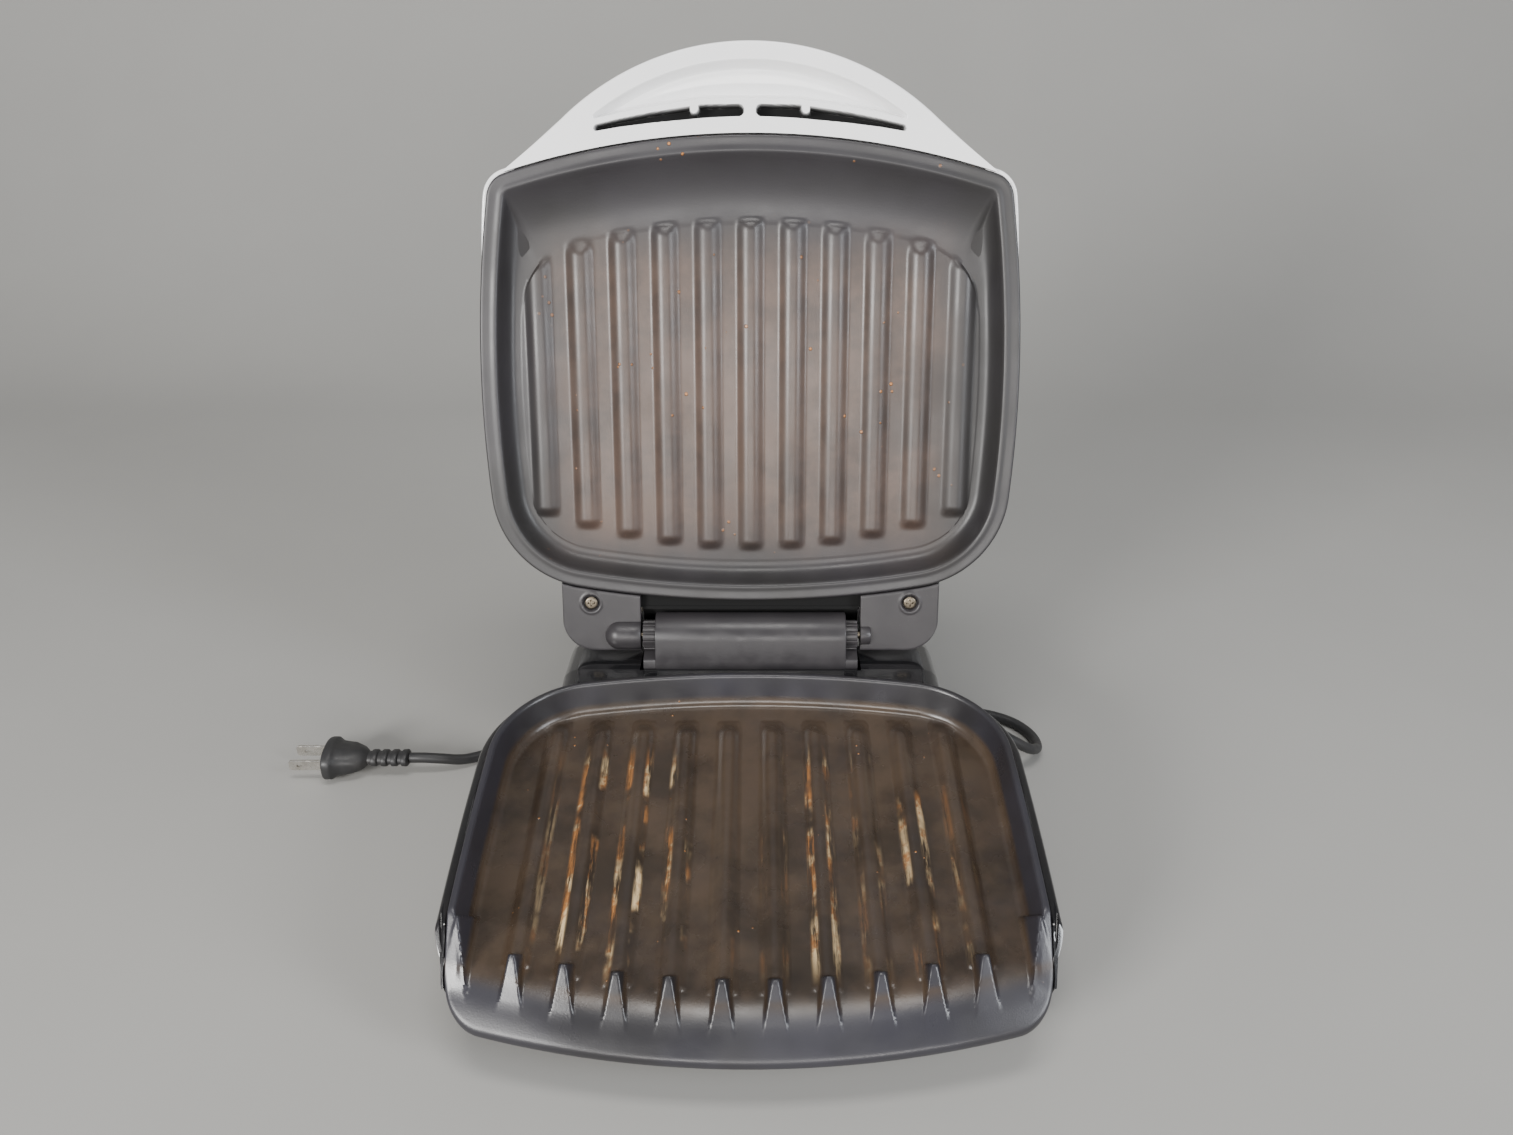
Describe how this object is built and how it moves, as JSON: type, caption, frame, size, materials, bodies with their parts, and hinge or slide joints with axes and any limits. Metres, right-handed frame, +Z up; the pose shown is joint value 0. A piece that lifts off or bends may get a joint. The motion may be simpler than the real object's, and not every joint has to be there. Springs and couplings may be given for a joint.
{
  "type": "contact grill",
  "caption": "Clamshell contact grill with ribbed non-stick plates, a row of drip spikes along the sloping lower lip, a domed white lid with a hood handle, a floating hinge and a power cord.",
  "frame": {"origin": "on the surface the feet stand on, under the middle of the footprint without the cord", "axes": "+Z up, -Y towards the user and the drip lip, +X to the user's right"},
  "size_m": [0.4064, 0.3184, 0.3568],
  "materials": {
    "nonstick_plate": "cast aluminium under a worn charcoal non-stick coat with a satin sheen",
    "white_plastic": "glossy moulded white",
    "grey_plastic": "charcoal, finely textured",
    "black_plastic": "glossy moulded black",
    "black_rubber": "soft matt rubber",
    "cord_jacket": "flexible vinyl, slight sheen",
    "blade_nickel": "nickel-plated brass",
    "screw_steel": "zinc-plated, slightly yellowed",
    "element_steel": "heat-tinted sheath",
    "shield_sheet": "pressed sheet",
    "ceramic": "unglazed, cream",
    "lead_sleeve": "woven glass sleeve",
    "lens_amber": "translucent amber-red, unlit"
  },
  "bodies": {
    "base": {"base_shell": "black_plastic", "bottom_cover": "black_plastic", "lower_plate": "nonstick_plate", "lower_heating_element": "element_steel", "lower_heat_shield": "shield_sheet", "thermostat": "ceramic", "thermal_fuse": "shield_sheet", "terminal_block": "ceramic", "lower_lead": "lead_sleeve", "strain_relief": "black_rubber", "hinge_guide_left": "grey_plastic", "hinge_guide_right": "grey_plastic", "lower_shield_screw_left": "screw_steel", "lower_shield_screw_right": "screw_steel", "power_cord": "cord_jacket", "plug_body": "cord_jacket", "plug_blade_front": "blade_nickel", "plug_blade_rear": "blade_nickel", "foot_front_left": "black_rubber", "cover_screw_front_left": "screw_steel", "foot_front_right": "black_rubber", "cover_screw_front_right": "screw_steel", "foot_rear_left": "black_rubber", "cover_screw_rear_left": "screw_steel", "foot_rear_right": "black_rubber", "cover_screw_rear_right": "screw_steel"},
    "hinge_link": {"hinge_link": "grey_plastic"},
    "lid": {"lid_shell": "white_plastic", "upper_plate": "nonstick_plate", "upper_heating_element": "element_steel", "upper_heat_shield": "shield_sheet", "hinge_bracket": "grey_plastic", "indicator_lens": "lens_amber", "indicator_lamp": "ceramic", "upper_lead": "lead_sleeve", "hinge_pin_left": "screw_steel", "hinge_pin_right": "screw_steel", "bracket_screw_left": "screw_steel", "bracket_screw_right": "screw_steel", "upper_shield_screw_left": "screw_steel", "upper_shield_screw_right": "screw_steel"}
  },
  "joints": [
    {"name": "hinge_float", "type": "slide", "parent": "base", "child": "hinge_link", "axis": [0, -0.1392, 0.9903], "range_m": [0, 0.012]},
    {"name": "lid_hinge", "type": "hinge", "parent": "hinge_link", "child": "lid", "pos_m": [0, 0.0632, 0.0841], "axis": [1, 0, 0], "range_deg": [0, 112.5]}
  ]
}
